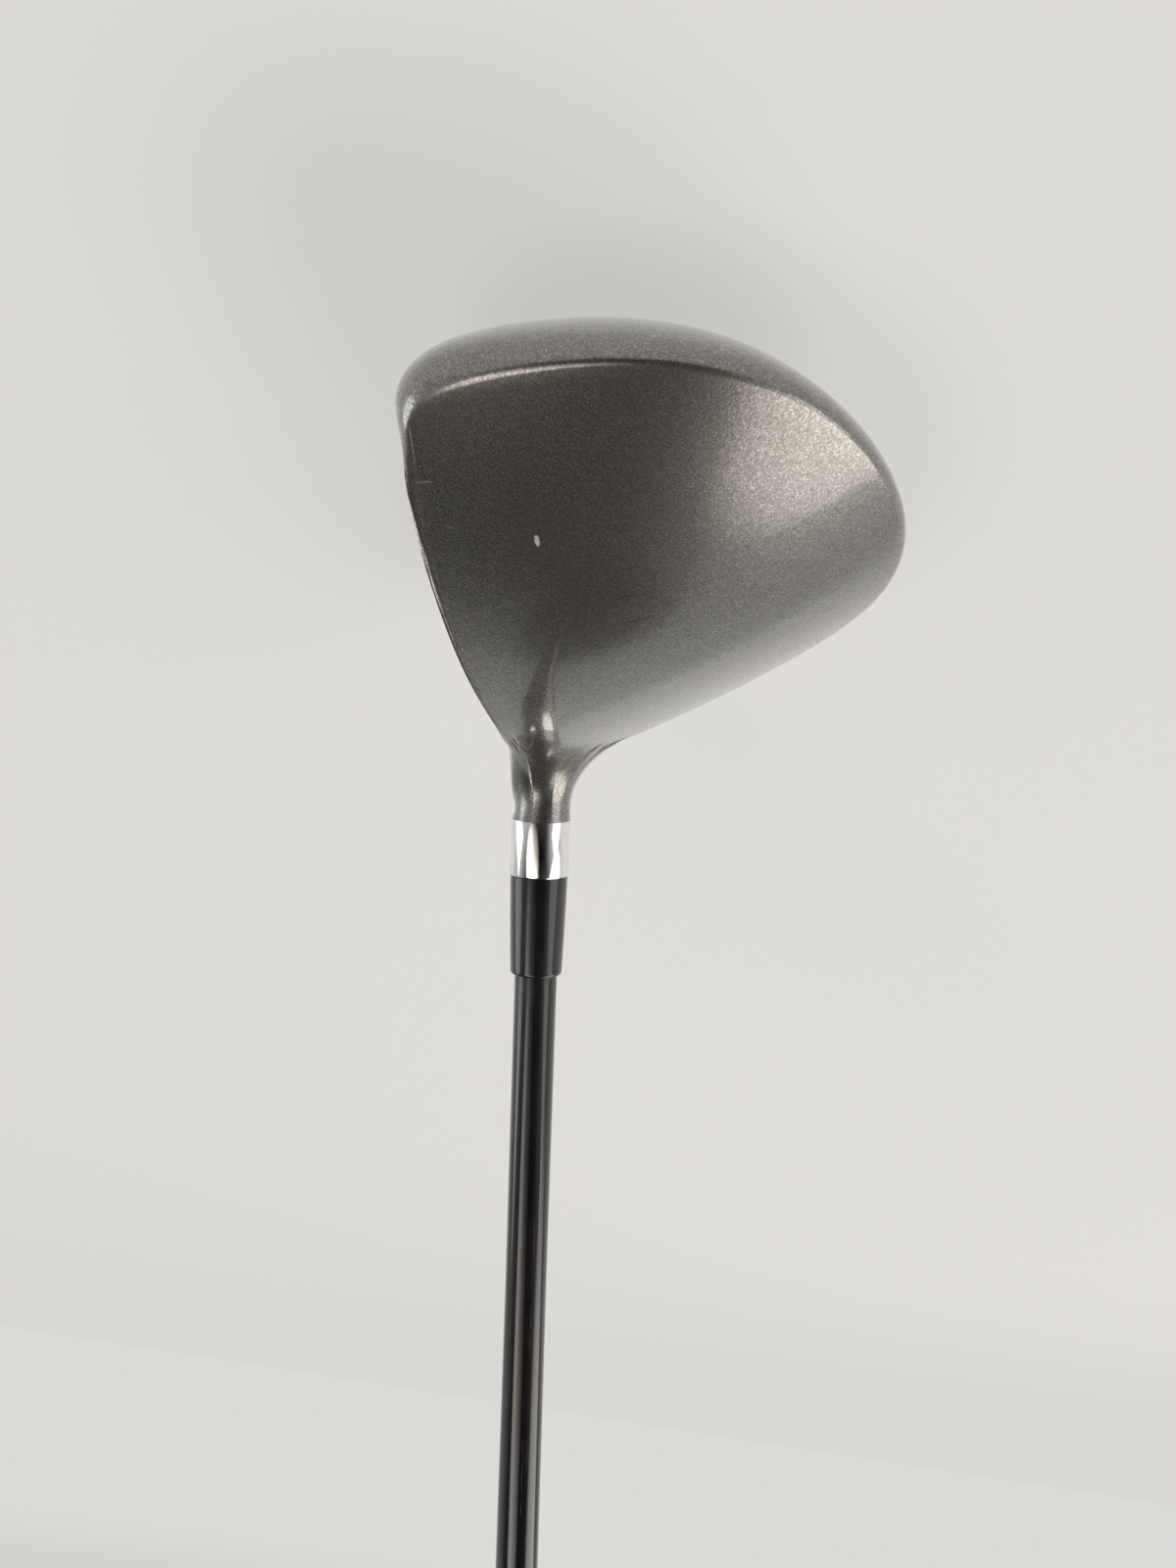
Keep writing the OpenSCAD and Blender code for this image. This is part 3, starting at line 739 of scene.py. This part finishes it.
# ---- Grip cap.
# The moulded end of the grip, a rubber disc with a rounded rim, two shallow rings and a
# small hole that lets the air out while the grip is slid on.
vent_r = 2.3
cap_t = 4
cap_round = 2
cap_ring_deep = 0.4
cap_ring_slope = 0.1
vent_edge = 0.2
club_l = cap_s + cap_t
crest = [(vent_r, cap_s), (end_r, cap_s)]
for angle in (0, 22.5, 45, 67.5, 90):
    a = math.radians(angle)
    crest.append((end_r - cap_round * (1 - math.cos(a)), club_l - cap_round * (1 - math.sin(a))))
for near, far in ((9.0, 9.8), (5.6, 6.2)):
    crest += [(far, club_l), (far - cap_ring_slope, club_l - cap_ring_deep),
              (near + cap_ring_slope, club_l - cap_ring_deep), (near, club_l)]
crest += [(vent_r + vent_edge, club_l), (vent_r, club_l - vent_edge)]
cap = turned_piece("rubber_cap", crest, axis_foot, axis_way)
rubber.coat(cap)
hand_over(cap, "grip_rubber", "grip_cap")


# ---- Floor, room and lights.
# A plain pale floor in a room that darkens overhead and behind the viewer, with two bright
# windows and one dark stand. Two side panels show only in the gloss; one warm soft box
# lights only what is matt.
pale = (0.92, 0.915, 0.895)
pale_mean = 0.91
floor_glow = 0.53
floor_tone = 0.35
floor_reach = 60
floor_drop = 0.3 * MM
sky_low = 0.70
window_tint = (1.0, 0.93, 0.85, 1)
to_viewer = (-0.79, 0.2, 0.58)
let_go()
bpy.ops.mesh.primitive_circle_add(vertices=96, radius=floor_reach, fill_type="NGON",
                                  location=(0, 0, -floor_drop))
floor = bpy.context.object
floor.name = "pale_floor"
ground = Finish("pale_floor")
ground.set(Base_Color=(*(floor_tone * tone for tone in pale), 1), Roughness=1.0,
           Specular_IOR_Level=0.0, Emission_Color=(*pale, 1), Emission_Strength=floor_glow)
ground.coat(floor)

sky = bpy.data.worlds.new("studio")
bpy.context.scene.world = sky
sky.use_nodes = True
tree = sky.node_tree
sight = tree.nodes.new("ShaderNodeTexCoord").outputs["Generated"]
split = tree.nodes.new("ShaderNodeSeparateXYZ")
tree.links.new(sight, split.inputs[0])
shade = tree.nodes.new("ShaderNodeValToRGB")
stops = [(0.0, sky_low), (0.10, sky_low), (0.20, 0.46), (0.38, 0.50), (0.55, 0.46), (0.66, 0.26),
         (0.79, 0.06), (1.0, 0.04)]
while len(shade.color_ramp.elements) < len(stops):
    shade.color_ramp.elements.new(0.5)
for element, (at, value) in zip(shade.color_ramp.elements, stops):
    element.position = at
    element.color = (*(value * tone / pale_mean for tone in pale), 1)
tree.links.new(split.outputs["Z"], shade.inputs[0])


def sky_share(value, low, high, to_low, to_high):
    """Fades from one number to another as the value goes from low to high."""
    made = tree.nodes.new("ShaderNodeMapRange")
    made.interpolation_type = "SMOOTHSTEP"
    tree.links.new(value, made.inputs[0])
    for socket, number in zip(made.inputs[1:5], (low, high, to_low, to_high)):
        socket.default_value = number
    return made.outputs[0]


def sky_mix(way, a, b):
    """One step of arithmetic on two parts of the sky."""
    made = tree.nodes.new("ShaderNodeMath")
    made.operation = way
    tree.links.new(a, made.inputs[0])
    tree.links.new(b, made.inputs[1])
    return made.outputs[0]


def towards(bearing, height):
    """The direction at a bearing and a height in degrees."""
    b, h = math.radians(bearing), math.radians(height)
    return Vector((math.cos(h) * math.cos(b), math.cos(h) * math.sin(b), math.sin(h)))


def near_to(direction):
    """How nearly the line of sight runs in a direction: 1 along it, less away from it."""
    made = tree.nodes.new("ShaderNodeVectorMath")
    made.operation = "DOT_PRODUCT"
    made.inputs[1].default_value = direction
    tree.links.new(sight, made.inputs[0])
    return made.outputs["Value"]


def sky_disc(bearing, height, outer, inner, outside, inside):
    """A soft-edged disc in the sky, with its edge between two angles from its middle."""
    return sky_share(near_to(towards(bearing, height)), math.cos(math.radians(outer)),
                     math.cos(math.radians(inner)), outside, inside)


dim = sky_share(near_to(to_viewer), 0.66, 0.93, 1.0, 0.12)
sill = near_to(towards(90, 51.3))
window = sky_mix("MULTIPLY", sky_disc(61, 37, 28, 14, 0, 2.9), sky_share(sill, 0.70, 0.73, 0, 1))
behind = sky_disc(209, 60, 25, 13, 0, 3.6)
stand = sky_disc(1, 41, 14, 7, 1.0, 0.08)
dark = sky_mix("MULTIPLY", dim, stand)
warm = tree.nodes.new("ShaderNodeMix")
warm.data_type = "RGBA"
warm.blend_type = "ADD"
warm.clamp_factor = False
warm.inputs[7].default_value = window_tint
tree.links.new(sky_mix("ADD", window, behind), warm.inputs[0])
tree.links.new(shade.outputs[0], warm.inputs[6])
tree.links.new(warm.outputs[2], tree.nodes["Background"].inputs["Color"])
tree.links.new(dark, tree.nodes["Background"].inputs["Strength"])


def soft_box(name, bearing, height, far, wide, tall, glow, tint, mirrored=True):
    """A soft box that faces the head from a bearing and a height in degrees, far metres away."""
    line = towards(bearing, height)
    data = bpy.data.lights.new(name, "AREA")
    data.shape = "RECTANGLE"
    data.size = wide
    data.size_y = tall
    data.energy = glow * math.pi * wide * tall
    data.color = tint
    box = bpy.data.objects.new(name, data)
    box.location = head_middle + far * line
    box.rotation_euler = line.to_track_quat("Z", "Y").to_euler()
    box.visible_camera = False
    box.visible_glossy = mirrored
    box.visible_diffuse = not mirrored
    bpy.context.scene.collection.objects.link(box)


soft_box("main_soft_box", bearing=44, height=46, far=1.8, wide=0.9, tall=0.9, glow=2.0,
         tint=(1.0, 0.95, 0.88), mirrored=False)
soft_box("side_panel_back", bearing=92, height=16, far=1.7, wide=0.8, tall=0.9, glow=1.5,
         tint=(1.0, 0.985, 0.95))
soft_box("side_panel_front", bearing=-92, height=16, far=1.7, wide=0.8, tall=0.9, glow=2.0,
         tint=(0.96, 0.985, 1.0))


# ---- Camera.
# It stands close over the toe and looks down along the shaft, turned so that the head
# hangs above the shaft in the picture.
film_width = 36
focal_length = 29.25
camera_place = Vector((-173.043, 48.727, 159.627)) * MM
right = Vector((0.14344, 0.98024, -0.13618))
up = Vector((-0.45964, -0.05588, -0.88634))
back = Vector((-0.87644, 0.18973, 0.44255))
lens = bpy.data.cameras.new("camera")
lens.sensor_width = film_width
lens.lens = focal_length
lens.clip_start = 0.01
lens.clip_end = 200
camera = bpy.data.objects.new("camera", lens)
aim = Matrix((right, up, back)).transposed().to_4x4()
camera.matrix_world = Matrix.Translation(camera_place) @ aim
bpy.context.scene.collection.objects.link(camera)
bpy.context.scene.camera = camera
bpy.context.scene.view_settings.view_transform = "Standard"
